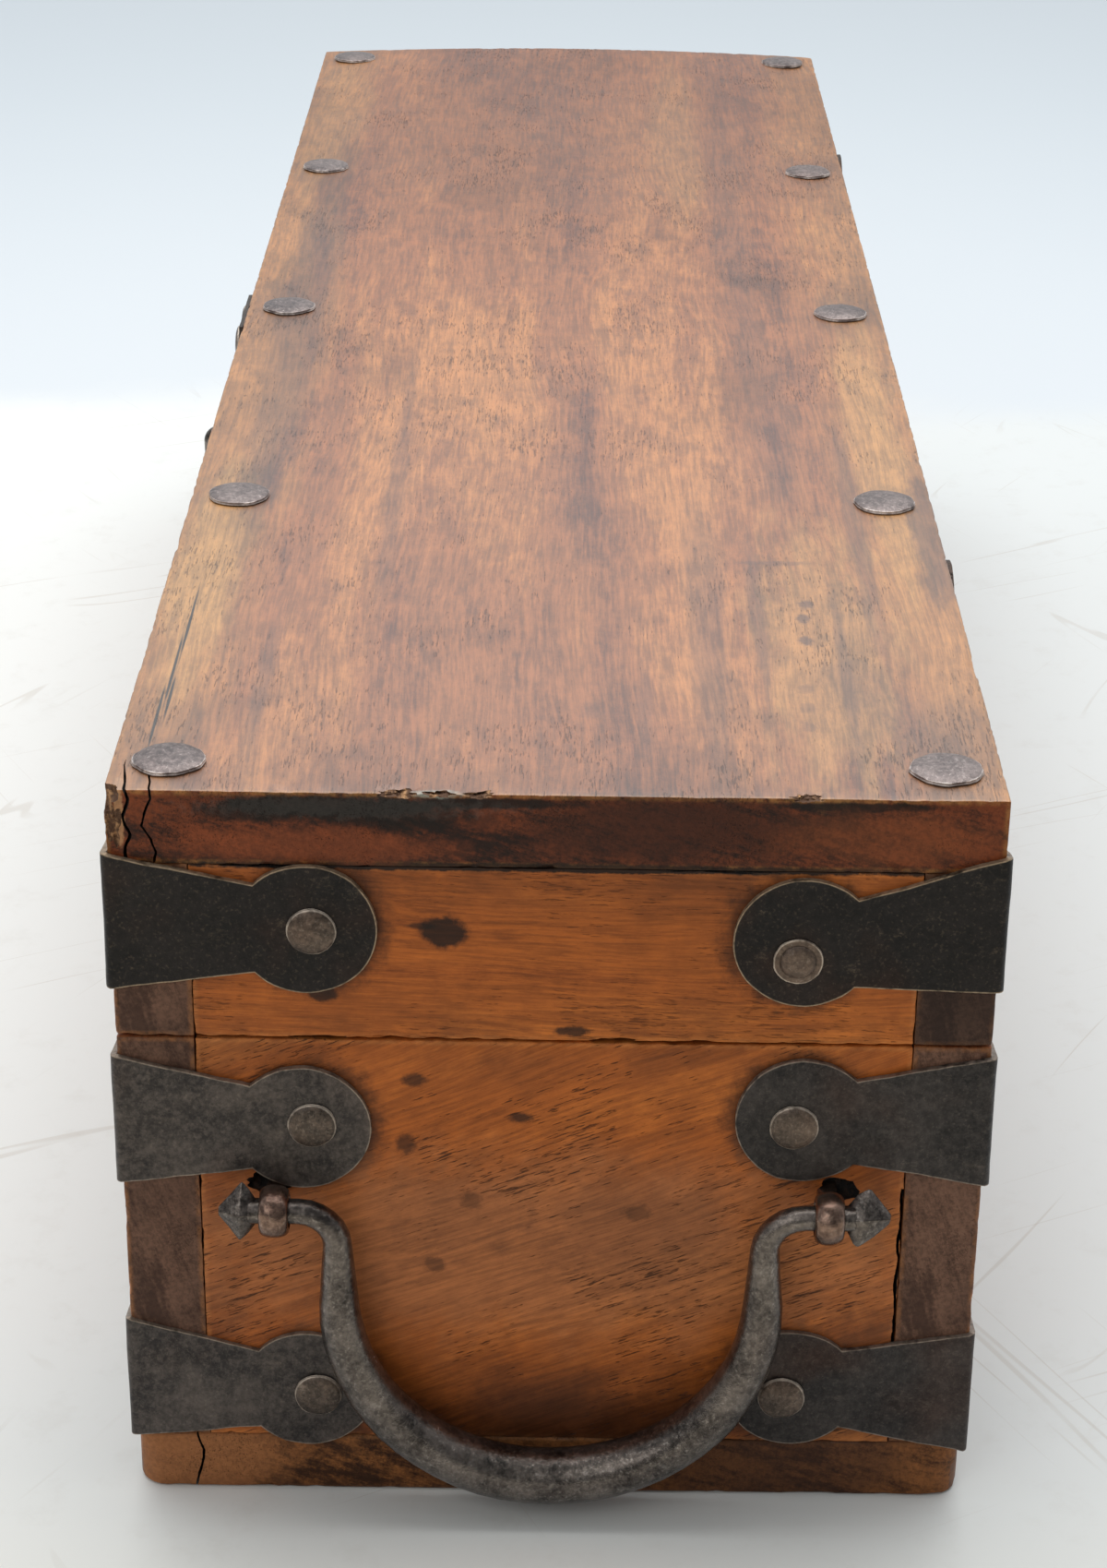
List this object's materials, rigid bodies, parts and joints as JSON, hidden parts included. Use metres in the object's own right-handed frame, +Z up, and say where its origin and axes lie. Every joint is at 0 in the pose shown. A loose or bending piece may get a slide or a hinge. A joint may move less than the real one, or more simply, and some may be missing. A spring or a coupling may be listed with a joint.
{
  "type": "wooden box chest",
  "caption": "Long narrow hardwood box chest with a hinged lid, blackened iron corner straps, domed studs, a drop handle at each end and a hasp.",
  "frame": {"origin": "centre of the bottom face, on the floor", "axes": "+X along the length to the right end with its handle, -Y to the front with the hasp, +Y to the rear with the hinges, +Z up"},
  "size_m": [0.7378, 0.2248, 0.1906],
  "materials": {
    "lid_wood": "oiled, worn hardwood with visible grain",
    "side_wood": "oiled, worn hardwood with visible grain",
    "end_wood": "oiled, worn hardwood with visible grain",
    "base_wood": "oiled, worn hardwood with visible grain",
    "strap_iron": "blackened hammered wrought iron, satin",
    "handle_iron": "forged iron, smooth and worn in the grip",
    "nail_iron": "forged iron nail heads, brown patina",
    "hasp_iron": "blackened forged iron, worn edges"
  },
  "bodies": {
    "case": {"bottom_board": "base_wood", "bottom_nails": "nail_iron", "case_front_board": "side_wood", "case_hinge_leaf_left": "strap_iron", "case_hinge_leaf_right": "strap_iron", "case_hinge_nails": "nail_iron", "case_left_end": "end_wood", "case_lower_strap_front_left": "strap_iron", "case_lower_strap_front_right": "strap_iron", "case_lower_strap_rear_left": "strap_iron", "case_lower_strap_rear_right": "strap_iron", "case_rear_board": "side_wood", "case_right_end": "end_wood", "case_strap_nails": "nail_iron", "case_upper_strap_front_left": "strap_iron", "case_upper_strap_front_right": "strap_iron", "case_upper_strap_rear_left": "strap_iron", "case_upper_strap_rear_right": "strap_iron", "handle_eye_front_left": "handle_iron", "handle_eye_front_right": "handle_iron", "handle_eye_rear_left": "handle_iron", "handle_eye_rear_right": "handle_iron", "hasp_plate": "strap_iron", "hasp_plate_nails": "nail_iron", "hasp_staple": "hasp_iron", "hinge_pin_left": "nail_iron", "hinge_pin_right": "nail_iron"},
    "hasp": {"hasp": "hasp_iron"},
    "left_bail": {"left_bail": "handle_iron"},
    "lid": {"lid_front_board": "side_wood", "lid_hinge_leaf_left": "strap_iron", "lid_hinge_leaf_right": "strap_iron", "lid_hinge_nails": "nail_iron", "lid_left_end": "end_wood", "lid_rear_board": "side_wood", "lid_right_end": "end_wood", "lid_strap_front_left": "strap_iron", "lid_strap_front_right": "strap_iron", "lid_strap_nails": "nail_iron", "lid_strap_rear_left": "strap_iron", "lid_strap_rear_right": "strap_iron", "lid_studs": "nail_iron", "lid_top_board": "lid_wood", "lock_plate": "strap_iron", "lock_plate_nails": "nail_iron", "lock_staple": "hasp_iron"},
    "right_bail": {"right_bail": "handle_iron"}
  },
  "joints": [
    {"name": "lid_hinge", "type": "hinge", "parent": "case", "child": "lid", "pos_m": [0, 0.1048, 0.1262], "axis": [-1, 0, 0], "range_deg": [0, 180]},
    {"name": "right_bail_swing", "type": "hinge", "parent": "case", "child": "right_bail", "pos_m": [0.362, 0, 0.0855], "axis": [0, -1, 0], "range_deg": [-1, 179]},
    {"name": "left_bail_swing", "type": "hinge", "parent": "case", "child": "left_bail", "pos_m": [-0.362, 0, 0.0855], "axis": [0, 1, 0], "range_deg": [-1, 179]},
    {"name": "hasp_swing", "type": "hinge", "parent": "case", "child": "hasp", "pos_m": [0, -0.1062, 0.104], "axis": [-1, 0, 0], "range_deg": [0, 180]}
  ]
}
